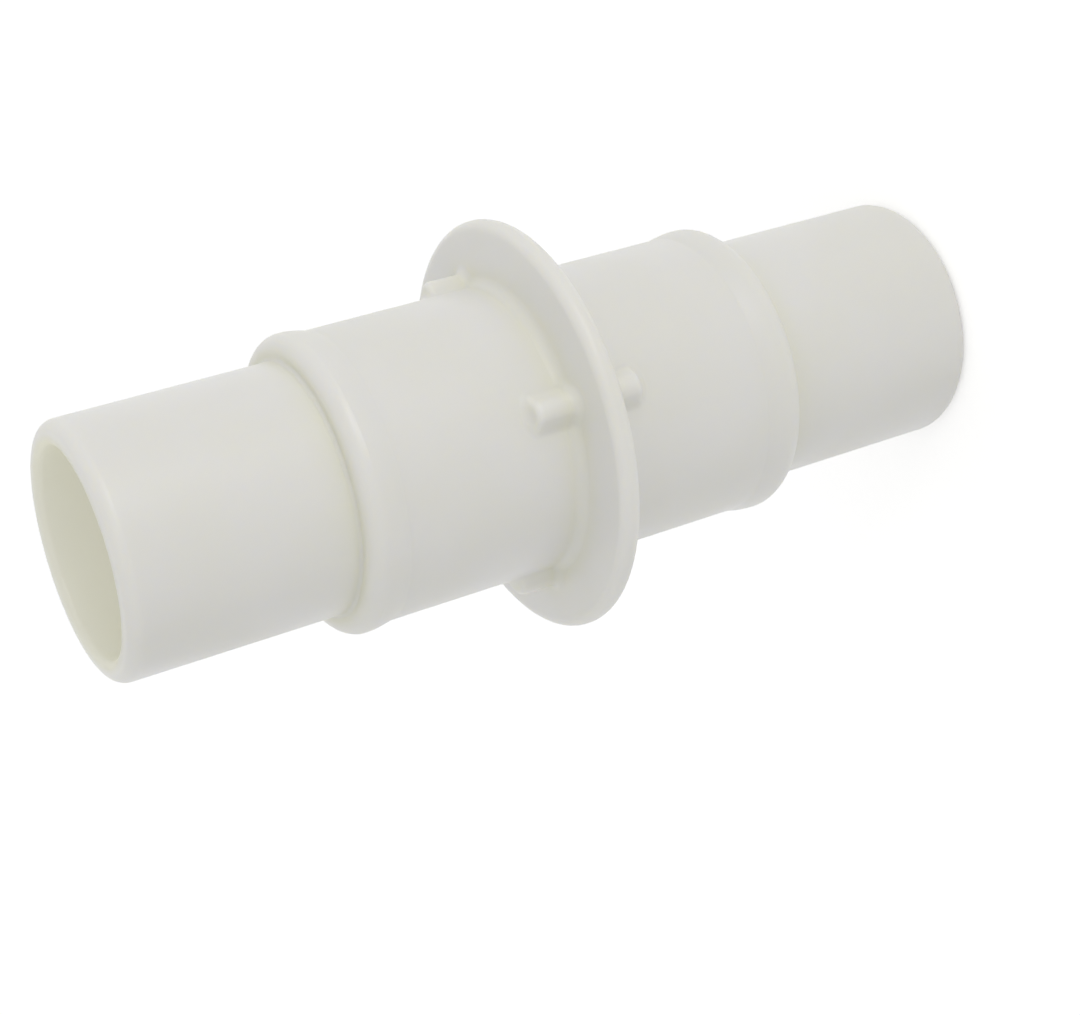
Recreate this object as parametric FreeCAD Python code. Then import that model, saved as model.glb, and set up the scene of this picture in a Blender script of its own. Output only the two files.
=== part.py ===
import FreeCAD, Part
import math
import os

# Straight bore through the whole fitting
bore_d = 26.0

# Stub at each end, the seat of the smaller hose
stub_d = 32.0
stub_length = 29.0
lip_outer_r = 1.8
lip_inner_r = 1.0

# Raised bead at the step from stub to barrel: round nose towards the stub, easy slope towards the barrel
bead_d = 38.0
bead_width = 3.0
bead_slope = 2.3
bead_nose_r = 2.2
bead_foot_r = 0.5
bead_crest_r = 9.5
bead_back_r = 1.5

# Barrel at each side of the flange, the seat of the larger hose
barrel_d = 37.0
barrel_length = 23.5

# Flange in the middle of the length; its faces draft towards the rim
flange_d = 53.2
flange_root_t = 3.8
flange_rim_t = 2.6
flange_edge_r = 1.3
flange_root_r = 1.5

# Short ribs that stiffen both faces of the flange: low round ridges with drafted sides and a steeper nose
rib_count = 4
rib_height = 2.1
rib_length = 5.3
rib_crest_r = 1.7
rib_side_draft = 37.0
rib_nose_draft = 12.0
rib_nose_r = 0.9
rib_foot_r = 1.3

# Sizes that follow from the ones above
bore_r = bore_d / 2
stub_r = stub_d / 2
barrel_r = barrel_d / 2
flange_r = flange_d / 2
half_length = flange_root_t / 2 + barrel_length + bead_slope + bead_width + stub_length
rib_top_r = barrel_r + rib_height
rib_end = flange_root_t / 2 + rib_length


def vec(r, a):
    """Point of the half section: radius r, height a above the middle of the flange."""
    return FreeCAD.Vector(r, 0, a)


def corner_reach(before, corner, after, radius):
    """Unit vectors from a corner to its neighbours, half the turn there, and the length a fillet takes."""
    to_before = (before - corner).normalize()
    to_after = (after - corner).normalize()
    half_turn = (math.pi - to_before.getAngle(to_after)) / 2
    return to_before, to_after, half_turn, radius * math.tan(half_turn)


def rounded_path(corners):
    """Edges of an open path of straight runs with a tangent arc at each inner corner.

    corners is a list of (point, radius). Where two arcs need more than the run between them,
    both are reduced to share it.
    """
    points = [point for point, radius in corners]
    reach = [0.0] * len(points)
    for i in range(1, len(points) - 1):
        reach[i] = corner_reach(points[i - 1], points[i], points[i + 1], corners[i][1])[3]
    share = [1.0] * len(points)
    for i in range(len(points) - 1):
        run = (points[i + 1] - points[i]).Length
        wanted = reach[i] + reach[i + 1]
        if wanted > run:
            share[i] = min(share[i], run / wanted)
            share[i + 1] = min(share[i + 1], run / wanted)

    edges = []
    start = points[0]
    for i in range(1, len(points) - 1):
        corner = points[i]
        radius = corners[i][1] * share[i]
        to_before, to_after, half_turn, length = corner_reach(points[i - 1], corner, points[i + 1], radius)
        arc_start = corner + to_before * length
        arc_end = corner + to_after * length
        if (arc_start - start).Length > 1e-6:
            edges.append(Part.makeLine(start, arc_start))
        if length > 1e-6:
            inward = (to_before + to_after).normalize()
            arc_middle = corner + inward * (radius / math.cos(half_turn) - radius)
            edges.append(Part.Arc(arc_start, arc_middle, arc_end).toShape())
        start = arc_end
    if (points[-1] - start).Length > 1e-6:
        edges.append(Part.makeLine(start, points[-1]))
    return edges


def half_section():
    """Section of one half, from the crown of the flange rim over the outside and back along the bore."""
    flange_face = flange_root_t / 2
    slope_start = flange_face + barrel_length
    slope_end = slope_start + bead_slope
    bead_end = slope_end + bead_width
    return rounded_path([
        (vec(flange_r, 0), 0),
        (vec(flange_r, flange_rim_t / 2), flange_edge_r),
        (vec(barrel_r, flange_face), flange_root_r),
        (vec(barrel_r, slope_start), bead_back_r),
        (vec(bead_d / 2, slope_end), bead_crest_r),
        (vec(bead_d / 2, bead_end), bead_nose_r),
        (vec(stub_r, bead_end), bead_foot_r),
        (vec(stub_r, half_length), lip_outer_r),
        (vec(bore_r, half_length), lip_inner_r),
        (vec(bore_r, 0), 0),
    ])


def turned_body():
    """The half section and its mirror image, revolved round the bore."""
    half = Part.Wire(half_section())
    other = half.mirror(FreeCAD.Vector(0, 0, 0), FreeCAD.Vector(0, 0, 1))
    outline = Part.Wire(Part.__sortEdges__(half.Edges + other.Edges))
    return Part.Face(outline).revolve(FreeCAD.Vector(0, 0, 0), FreeCAD.Vector(0, 0, 1), 360)


def rib_section():
    """Cross section of one rib along +X: a round crest between drafted sides, rooted in the barrel wall."""
    draft = math.radians(rib_side_draft)
    root_x = (bore_r + barrel_r) / 2
    side_x = rib_top_r - rib_crest_r * (1 - math.sin(draft))
    side_y = rib_crest_r * math.cos(draft)
    root_y = side_y + (side_x - root_x) * math.tan(draft)
    left_root, right_root = [FreeCAD.Vector(root_x, y, 0) for y in (-root_y, root_y)]
    left_side, right_side = [FreeCAD.Vector(side_x, y, 0) for y in (-side_y, side_y)]
    return Part.Face(Part.Wire([
        Part.makeLine(left_root, left_side),
        Part.Arc(left_side, FreeCAD.Vector(rib_top_r, 0, 0), right_side).toShape(),
        Part.makeLine(right_side, right_root),
        Part.makeLine(right_root, left_root),
    ]))


def beyond_nose():
    """Everything on the far side of the rib's nose, which leans back towards the flange."""
    lean = math.tan(math.radians(rib_nose_draft))
    far = 2 * (rib_end + rib_top_r)
    side = Part.makePolygon([
        vec(0, rib_end + rib_top_r * lean),
        vec(2 * rib_top_r, rib_end - rib_top_r * lean),
        vec(2 * rib_top_r, far),
        vec(0, far),
        vec(0, rib_end + rib_top_r * lean),
    ])
    side.translate(FreeCAD.Vector(0, -rib_top_r, 0))
    return Part.Face(side).extrude(FreeCAD.Vector(0, 2 * rib_top_r, 0))


def is_nose(edge):
    """Whether an edge runs round the rib's nose, up one side and over the crest."""
    ends = [vertex.Point for vertex in edge.Vertexes]
    at_root = max(end.x for end in ends) < (bore_r + barrel_r) / 2 + 1e-6
    return not at_root and min(end.z for end in ends) > rib_end - 1e-6


def rib():
    """One rib on the upper side of the middle of the flange, along +X, with a rounded nose."""
    block = rib_section().extrude(FreeCAD.Vector(0, 0, 2 * rib_end + rib_top_r)).cut(beyond_nose())
    nose_edges = [edge for edge in block.Edges if is_nose(edge)]
    return block.makeFillet(min(rib_nose_r, 0.8 * rib_crest_r), nose_edges)


def ribs():
    """All ribs, evenly spaced on both faces of the flange."""
    upper = rib()
    lower = upper.mirror(FreeCAD.Vector(0, 0, 0), FreeCAD.Vector(0, 0, 1))
    pattern = []
    for k in range(rib_count):
        for one in (upper, lower):
            copy = one.copy()
            copy.rotate(FreeCAD.Vector(0, 0, 0), FreeCAD.Vector(0, 0, 1), 360 * k / rib_count)
            pattern.append(copy)
    return pattern


def foot_edges(solid, body, pattern):
    """Edges of the fused solid that run round the foot of a rib."""
    seams = []
    for one in pattern:
        seams += body.section(one).Edges
    middles = [edge.valueAt((edge.FirstParameter + edge.LastParameter) / 2) for edge in seams]
    found = []
    for edge in solid.Edges:
        middle = edge.valueAt((edge.FirstParameter + edge.LastParameter) / 2)
        if any(middle.distanceToPoint(other) < 1e-3 for other in middles):
            found.append(edge)
    return found


def hose_connector():
    """The whole moulding, standing on its lower mouth."""
    body = turned_body()
    pattern = ribs()
    solid = body.multiFuse(pattern).removeSplitter()
    solid = solid.makeFillet(rib_foot_r, foot_edges(solid, body, pattern))
    solid.translate(FreeCAD.Vector(0, 0, half_length))
    return solid


os.makedirs("parts", exist_ok=True)
shape = hose_connector()
if shape.ShapeType == "Compound" and len(shape.Solids) == 1:
    shape = shape.Solids[0]
shape.exportStep("parts/hose_connector.step")
print("valid", shape.isValid(), "solids", len(shape.Solids), "volume cm3", round(shape.Volume / 1000, 2))
print("box", shape.BoundBox)
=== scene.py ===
"""Looks of the hose connector: one milky white moulding on a pale studio floor."""
import math

import bpy
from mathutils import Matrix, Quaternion, Vector


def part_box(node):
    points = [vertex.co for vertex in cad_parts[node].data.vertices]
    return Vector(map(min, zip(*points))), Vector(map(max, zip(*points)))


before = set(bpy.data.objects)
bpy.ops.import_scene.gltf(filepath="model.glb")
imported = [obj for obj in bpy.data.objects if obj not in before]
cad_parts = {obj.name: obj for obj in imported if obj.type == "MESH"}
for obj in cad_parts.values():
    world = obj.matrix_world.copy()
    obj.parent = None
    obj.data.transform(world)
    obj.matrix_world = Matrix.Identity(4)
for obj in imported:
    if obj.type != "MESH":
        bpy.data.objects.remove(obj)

bl_info = {
    "name": "Pool Hose Connector",
    "version": (1, 0, 0),
    "blender": (4, 5, 0),
    "location": "3D View > Sidebar > Hose Connector",
    "description": "Finishes the moulded hose connector and sets up its studio",
    "category": "Object",
}

MM = 0.001
CONNECTOR = "hose_connector"
CAD_LOW, CAD_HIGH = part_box(CONNECTOR)
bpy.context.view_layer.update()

# Plastic: noise values where a cloud begins and is full, rays that find inside corners for
# the painted crease shade, refraction, and the share of the glow depth that red, green and blue
# light reach
CLOUD_EDGES = (0.35, 0.65)
CREASE_RAYS = 8
PLASTIC_IOR = 1.5
GLOW_OF_COLOURS = (1.0, 0.95, 0.7)

# Keeps the part of a place that lies across the connector's axis
ACROSS_AXIS = (1, 1, 0)

# Camera: sensor in millimetres, and the nearest thing that it shows
SENSOR_WIDTH = 36
NEAREST_SHOWN = 10 * MM

# A Mix node has one set of sockets for each kind of value; these are the ones for colours
MIX_FACTOR, MIX_FIRST, MIX_SECOND, MIX_RESULT = 0, 6, 7, 2
WHITE = (1, 1, 1, 1)


class ConnectorPlasticSettings(bpy.types.PropertyGroup):
    """The milky plastic that the connector is moulded in."""

    # Milk is the plastic's own colour; crease and inside below are painted shade mixed over it
    milk: bpy.props.FloatVectorProperty(
        name="Milk", description="Colour of the open, well lit skin",
        subtype="COLOR", size=3, min=0, max=1, default=(0.800, 0.795, 0.770))
    cream: bpy.props.FloatVectorProperty(
        name="Cream", description="Warmer tint of the faint clouds in the plastic",
        subtype="COLOR", size=3, min=0, max=1, default=(0.795, 0.790, 0.750))
    # Painted shade: a darker, yellower tint that ambient occlusion mixes into inside corners
    crease: bpy.props.FloatVectorProperty(
        name="Crease", description="Tint that light takes on inside corners",
        subtype="COLOR", size=3, min=0, max=1, default=(0.800, 0.795, 0.580))
    # Painted shade: a darker, yellower tint mixed into the bore by distance from the axis
    inside: bpy.props.FloatVectorProperty(
        name="Inside", description="Tint that light takes on inside the bore",
        subtype="COLOR", size=3, min=0, max=1, default=(0.720, 0.692, 0.440))
    crease_shade_reach: bpy.props.FloatProperty(
        name="Crease reach", description="How far from an inside corner its tint is felt",
        subtype="DISTANCE", unit="LENGTH", min=0, default=4 * MM)
    cloud_size: bpy.props.FloatProperty(
        name="Cloud size", description="Size of the faint clouds in the colour",
        subtype="DISTANCE", unit="LENGTH", min=MM, default=14 * MM)
    skin_size: bpy.props.FloatProperty(
        name="Skin size", description="Spacing of the waves in the moulded skin",
        subtype="DISTANCE", unit="LENGTH", min=0.1 * MM, default=2.2 * MM)
    skin_depth: bpy.props.FloatProperty(
        name="Skin depth", description="Depth of the waves in the moulded skin",
        subtype="DISTANCE", unit="LENGTH", min=0, default=0.006 * MM)
    grain_size: bpy.props.FloatProperty(
        name="Grain size", description="Spacing of the fine grain left by the mould",
        subtype="DISTANCE", unit="LENGTH", min=0.05 * MM, default=0.35 * MM)
    grain_depth: bpy.props.FloatProperty(
        name="Grain depth", description="Depth of the fine grain",
        subtype="DISTANCE", unit="LENGTH", min=0, default=0.0012 * MM)
    roughness: bpy.props.FloatProperty(
        name="Roughness", description="Spread of the gloss on the open skin",
        subtype="FACTOR", min=0, max=1, default=0.38)
    roughness_play: bpy.props.FloatProperty(
        name="Roughness play", description="How much the gloss varies over the clouds",
        subtype="FACTOR", min=0, max=0.5, default=0.08)
    glow: bpy.props.FloatProperty(
        name="Glow", description="Share of the light that passes through the skin",
        subtype="FACTOR", min=0, max=1, default=0.85)
    glow_depth: bpy.props.FloatProperty(
        name="Glow depth", description="How far light travels inside the plastic",
        subtype="DISTANCE", unit="LENGTH", min=0, default=1.2 * MM)
    bore_glow_depth: bpy.props.FloatProperty(
        name="Bore glow depth",
        description="How far light travels behind the bore's wall, which is lit from outside",
        subtype="DISTANCE", unit="LENGTH", min=0, default=62 * MM)
    bore_radius: bpy.props.FloatProperty(
        name="Bore radius",
        description="Distance from the axis up to which the bore's glow and tint are full",
        subtype="DISTANCE", unit="LENGTH", min=0, default=13.2 * MM)
    bore_fade: bpy.props.FloatProperty(
        name="Bore fade",
        description="Further distance from the axis over which the bore's glow and tint fade",
        subtype="DISTANCE", unit="LENGTH", min=0, default=1.8 * MM)


class ConnectorStageSettings(bpy.types.PropertyGroup):
    """Floor, room, lamp and camera round the connector."""

    floor_size: bpy.props.FloatProperty(
        name="Floor size", description="Side of the square floor",
        subtype="DISTANCE", unit="LENGTH", min=0.5, default=12.0)
    floor_colour: bpy.props.FloatVectorProperty(
        name="Floor", description="Colour of the floor",
        subtype="COLOR", size=3, min=0, max=1, default=(0.94, 0.94, 0.94))
    floor_lift: bpy.props.FloatProperty(
        name="Floor lift", description="Brightness added where the floor itself is seen",
        subtype="FACTOR", min=0, max=1, default=0.36)
    room_light: bpy.props.FloatProperty(
        name="Room light", description="Strength of the even light from all round",
        min=0, default=0.715)
    key_light: bpy.props.FloatProperty(
        name="Key lamp", description="Power of the large soft lamp",
        unit="POWER", min=0, default=4.3)
    key_colour: bpy.props.FloatVectorProperty(
        name="Key colour", description="Colour of the large soft lamp",
        subtype="COLOR", size=3, min=0, max=1, default=(1.0, 0.985, 0.94))
    key_size: bpy.props.FloatProperty(
        name="Key size", description="Side of the large soft lamp",
        subtype="DISTANCE", unit="LENGTH", min=0.05, default=0.5)
    key_distance: bpy.props.FloatProperty(
        name="Key distance", description="From the connector to the large soft lamp",
        subtype="DISTANCE", unit="LENGTH", min=0.3, default=1.2)
    key_azimuth: bpy.props.FloatProperty(
        name="Key azimuth", description="Turn of the lamp round the connector, 0 over the camera",
        subtype="ANGLE", unit="ROTATION", default=math.radians(34))
    key_elevation: bpy.props.FloatProperty(
        name="Key elevation", description="Height of the lamp above the horizon",
        subtype="ANGLE", unit="ROTATION", default=math.radians(0))
    aim: bpy.props.FloatVectorProperty(
        name="Aim", description="Point in the middle of the view",
        subtype="TRANSLATION", unit="LENGTH", size=3,
        default=(-10.73 * MM, 0.37 * MM, 60.47 * MM))
    distance: bpy.props.FloatProperty(
        name="Camera distance", description="From the aim to the camera",
        subtype="DISTANCE", unit="LENGTH", min=0.05, default=287.4 * MM)
    elevation: bpy.props.FloatProperty(
        name="Camera elevation", description="Height of the camera above the horizon",
        subtype="ANGLE", unit="ROTATION", default=math.radians(25.54))
    roll: bpy.props.FloatProperty(
        name="Camera roll",
        description="Turn of the picture, which lays the standing connector down",
        subtype="ANGLE", unit="ROTATION", default=math.radians(-107.30))
    lens: bpy.props.FloatProperty(
        name="Lens", description="Focal length on a 36 mm wide sensor",
        unit="CAMERA", min=10, max=300, default=75.25)


def new_material(name):
    """A material of that name with an empty node tree."""
    material = bpy.data.materials.new(name)
    material.use_nodes = True
    material.node_tree.nodes.clear()
    return material


def add_node(tree, kind, x, y, **values):
    """A node of that kind at that place, with its properties and unlinked inputs set by name."""
    node = tree.nodes.new(kind)
    node.location = (x, y)
    for name, value in values.items():
        if hasattr(node, name):
            setattr(node, name, value)
        else:
            node.inputs[name.replace("_", " ")].default_value = value
    return node


def noise_between(tree, coordinates, size, x, y):
    """Noise from 0 to 1 whose cells are size across."""
    noise = add_node(tree, "ShaderNodeTexNoise", x, y, Scale=1 / size, Detail=2.0, Roughness=0.5)
    tree.links.new(coordinates, noise.inputs["Vector"])
    return noise.outputs["Fac"]


def mix_colours(tree, factor, first, second, x, y):
    """Colour that goes from first to second with factor; each is a colour or a node's output."""
    mix = add_node(tree, "ShaderNodeMix", x, y, data_type="RGBA")
    tree.links.new(factor, mix.inputs[MIX_FACTOR])
    for colour, place in ((first, MIX_FIRST), (second, MIX_SECOND)):
        if isinstance(colour, bpy.types.NodeSocket):
            tree.links.new(colour, mix.inputs[place])
        else:
            mix.inputs[place].default_value = (*colour, 1)
    return mix.outputs[MIX_RESULT]


def outside_bore(tree, place, settings):
    """0 in the bore and 1 on the outside, by the distance from the connector's axis."""
    across = add_node(tree, "ShaderNodeVectorMath", -1200, -700, operation="MULTIPLY")
    across.inputs[1].default_value = ACROSS_AXIS
    tree.links.new(place, across.inputs[0])
    from_axis = add_node(tree, "ShaderNodeVectorMath", -1000, -700, operation="LENGTH")
    tree.links.new(across.outputs["Vector"], from_axis.inputs[0])
    outside = add_node(
        tree, "ShaderNodeMapRange", -800, -700, interpolation_type="SMOOTHSTEP",
        From_Min=settings.bore_radius, From_Max=settings.bore_radius + settings.bore_fade)
    tree.links.new(from_axis.outputs["Value"], outside.inputs["Value"])
    return outside.outputs["Result"]


def milky_plastic(settings):
    """Material of the moulding: cloudy milk white with painted shade, darker and yellower in
    creases and bore, softly skinned.
    """
    material = new_material("milky_plastic")
    tree = material.node_tree
    place = add_node(tree, "ShaderNodeTexCoord", -1400, 0).outputs["Object"]
    outside = outside_bore(tree, place, settings)

    clouds = add_node(
        tree, "ShaderNodeMapRange", -1000, 300, interpolation_type="SMOOTHSTEP",
        From_Min=CLOUD_EDGES[0], From_Max=CLOUD_EDGES[1])
    noise = noise_between(tree, place, settings.cloud_size, -1200, 300)
    tree.links.new(noise, clouds.inputs["Value"])
    # Painted shade: ambient occlusion mixes the darker, yellower crease tint into inside corners
    corners = add_node(
        tree, "ShaderNodeAmbientOcclusion", -1000, 600, samples=CREASE_RAYS, only_local=True,
        Distance=settings.crease_shade_reach)
    open_skin = mix_colours(
        tree, clouds.outputs["Result"], settings.milk, settings.cream, -800, 300)
    skin_with_crease_shade = mix_colours(tree, corners.outputs["AO"], settings.crease, open_skin, -600, 400)
    # Painted shade: the bore is tinted darker and yellower, fading out by distance from the axis
    colour = mix_colours(tree, outside, settings.inside, skin_with_crease_shade, -400, 500)

    gloss = add_node(
        tree, "ShaderNodeMapRange", -600, 0,
        To_Min=settings.roughness - settings.roughness_play / 2,
        To_Max=settings.roughness + settings.roughness_play / 2)
    tree.links.new(clouds.outputs["Result"], gloss.inputs["Value"])

    waves = add_node(
        tree, "ShaderNodeBump", -600, -250, Strength=1.0, Distance=settings.skin_depth)
    noise = noise_between(tree, place, settings.skin_size, -1200, -250)
    tree.links.new(noise, waves.inputs["Height"])
    grain = add_node(
        tree, "ShaderNodeBump", -400, -250, Strength=1.0, Distance=settings.grain_depth)
    noise = noise_between(tree, place, settings.grain_size, -1200, -500)
    tree.links.new(noise, grain.inputs["Height"])
    tree.links.new(waves.outputs["Normal"], grain.inputs["Normal"])

    depth = add_node(
        tree, "ShaderNodeMapRange", -400, -700,
        To_Min=settings.bore_glow_depth, To_Max=settings.glow_depth)
    tree.links.new(outside, depth.inputs["Value"])

    skin = add_node(
        tree, "ShaderNodeBsdfPrincipled", -100, 200, IOR=PLASTIC_IOR,
        Subsurface_Weight=settings.glow, Subsurface_Radius=GLOW_OF_COLOURS)
    tree.links.new(colour, skin.inputs["Base Color"])
    tree.links.new(gloss.outputs["Result"], skin.inputs["Roughness"])
    tree.links.new(depth.outputs["Result"], skin.inputs["Subsurface Scale"])
    tree.links.new(grain.outputs["Normal"], skin.inputs["Normal"])
    end = add_node(tree, "ShaderNodeOutputMaterial", 250, 200)
    tree.links.new(skin.outputs["BSDF"], end.inputs["Surface"])
    return material


def seen_directly(tree, x, y):
    """1 on rays that show the background itself: from the camera, off gloss or through glass."""
    ray = add_node(tree, "ShaderNodeLightPath", x, y)
    seen = ray.outputs["Is Camera Ray"]
    for name in ("Is Glossy Ray", "Is Transmission Ray"):
        x += 200
        either = add_node(tree, "ShaderNodeMath", x, y, operation="MAXIMUM")
        tree.links.new(seen, either.inputs[0])
        tree.links.new(ray.outputs[name], either.inputs[1])
        seen = either.outputs["Value"]
    return seen


def pale_floor(settings):
    """Material of the floor: matt and pale, lifted to white where it is seen; shadows stay."""
    material = new_material("pale_floor")
    tree = material.node_tree
    matt = add_node(tree, "ShaderNodeBsdfDiffuse", -300, 100, Color=(*settings.floor_colour, 1))
    lift = add_node(tree, "ShaderNodeMath", -500, -100, operation="MULTIPLY")
    lift.inputs[1].default_value = settings.floor_lift
    tree.links.new(seen_directly(tree, -1100, -100), lift.inputs[0])
    glow = add_node(tree, "ShaderNodeEmission", -300, -100)
    tree.links.new(lift.outputs["Value"], glow.inputs["Strength"])
    both = add_node(tree, "ShaderNodeAddShader", -100, 0)
    tree.links.new(matt.outputs["BSDF"], both.inputs[0])
    tree.links.new(glow.outputs["Emission"], both.inputs[1])
    end = add_node(tree, "ShaderNodeOutputMaterial", 100, 0)
    tree.links.new(both.outputs["Shader"], end.inputs["Surface"])
    return material


def even_room(settings):
    """World that lights softly from all round and is white where it is seen."""
    world = bpy.data.worlds.new("even_room")
    bpy.context.scene.world = world
    world.use_nodes = True
    tree = world.node_tree
    tree.nodes.clear()
    strength = add_node(
        tree, "ShaderNodeMapRange", -400, 0, To_Min=settings.room_light, To_Max=1.0)
    tree.links.new(seen_directly(tree, -1000, 0), strength.inputs["Value"])
    light = add_node(tree, "ShaderNodeBackground", -200, 0, Color=WHITE)
    tree.links.new(strength.outputs["Result"], light.inputs["Strength"])
    end = add_node(tree, "ShaderNodeOutputWorld", 0, 0)
    tree.links.new(light.outputs["Background"], end.inputs["Surface"])


def direction_at(azimuth, elevation):
    """Unit vector from the connector towards that side: azimuth 0 is -Y and 90 degrees is +X."""
    flat = math.cos(elevation)
    return Vector((math.sin(azimuth) * flat, -math.cos(azimuth) * flat, math.sin(elevation)))


def place_looking(thing, aim, towards, distance, roll=0.0):
    """Puts a lamp or camera at that distance from aim, looking back at it, and rolls it."""
    thing.location = aim + towards * distance
    thing.rotation_mode = "QUATERNION"
    level = (-towards).to_track_quat("-Z", "Y")
    thing.rotation_quaternion = level @ Quaternion((0, 0, 1), roll)


def lay_floor(settings):
    """The square floor that the connector stands on."""
    bpy.ops.object.select_all(action="DESELECT")
    bpy.ops.mesh.primitive_plane_add(size=settings.floor_size, location=(0, 0, CAD_LOW.z))
    floor = bpy.context.object
    floor.name = "floor"
    floor.data.materials.append(pale_floor(settings))


def hang_key_lamp(settings):
    """The large soft lamp, aimed at the middle of the connector."""
    bpy.ops.object.light_add(type="AREA")
    key = bpy.context.object
    key.name = "key_lamp"
    key.data.shape = "SQUARE"
    key.data.size = settings.key_size
    key.data.energy = settings.key_light
    key.data.color = settings.key_colour
    towards = direction_at(settings.key_azimuth, settings.key_elevation)
    place_looking(key, (CAD_LOW + CAD_HIGH) / 2, towards, settings.key_distance)


def set_camera(settings):
    """The scene's camera, at the angle from which the connector was pictured."""
    bpy.ops.object.camera_add()
    camera = bpy.context.object
    camera.name = "camera"
    camera.data.sensor_width = SENSOR_WIDTH
    camera.data.lens = settings.lens
    camera.data.clip_start = NEAREST_SHOWN
    towards = direction_at(0, settings.elevation)
    place_looking(camera, Vector(settings.aim), towards, settings.distance, settings.roll)
    bpy.context.scene.camera = camera


class CONNECTOR_OT_finish_moulding(bpy.types.Operator):
    """Give the moulded connector its milky plastic"""

    bl_idname = "connector.finish_moulding"
    bl_label = "Finish Moulding"

    def execute(self, context):
        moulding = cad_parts[CONNECTOR]
        plastic = milky_plastic(context.scene.connector_plastic)
        for slot in moulding.material_slots:
            slot.material = plastic
        return {"FINISHED"}


class CONNECTOR_OT_set_stage(bpy.types.Operator):
    """Set up the floor, the room, the lamp and the camera"""

    bl_idname = "connector.set_stage"
    bl_label = "Set Stage"

    def execute(self, context):
        settings = context.scene.connector_stage
        lay_floor(settings)
        even_room(settings)
        hang_key_lamp(settings)
        set_camera(settings)
        context.scene.view_settings.view_transform = "Standard"
        return {"FINISHED"}


class CONNECTOR_PT_panel(bpy.types.Panel):
    """Sidebar panel with the connector's finish and stage"""

    bl_idname = "CONNECTOR_PT_panel"
    bl_label = "Hose Connector"
    bl_space_type = "VIEW_3D"
    bl_region_type = "UI"
    bl_category = "Hose Connector"

    def draw(self, context):
        for group, operator in PANEL_ROWS:
            box = self.layout.box()
            settings = getattr(context.scene, group)
            for name in settings.__annotations__:
                box.prop(settings, name)
            box.operator(operator)


PANEL_ROWS = [
    ("connector_plastic", CONNECTOR_OT_finish_moulding.bl_idname),
    ("connector_stage", CONNECTOR_OT_set_stage.bl_idname),
]

CLASSES = [
    ConnectorPlasticSettings,
    ConnectorStageSettings,
    CONNECTOR_OT_finish_moulding,
    CONNECTOR_OT_set_stage,
    CONNECTOR_PT_panel,
]


def register():
    for cls in CLASSES:
        bpy.utils.register_class(cls)
    bpy.types.Scene.connector_plastic = bpy.props.PointerProperty(type=ConnectorPlasticSettings)
    bpy.types.Scene.connector_stage = bpy.props.PointerProperty(type=ConnectorStageSettings)


def unregister():
    del bpy.types.Scene.connector_stage
    del bpy.types.Scene.connector_plastic
    for cls in reversed(CLASSES):
        bpy.utils.unregister_class(cls)


def main():
    """Builds the whole scene."""
    register()
    bpy.ops.connector.finish_moulding()
    bpy.ops.connector.set_stage()


if __name__ == "__main__":
    main()
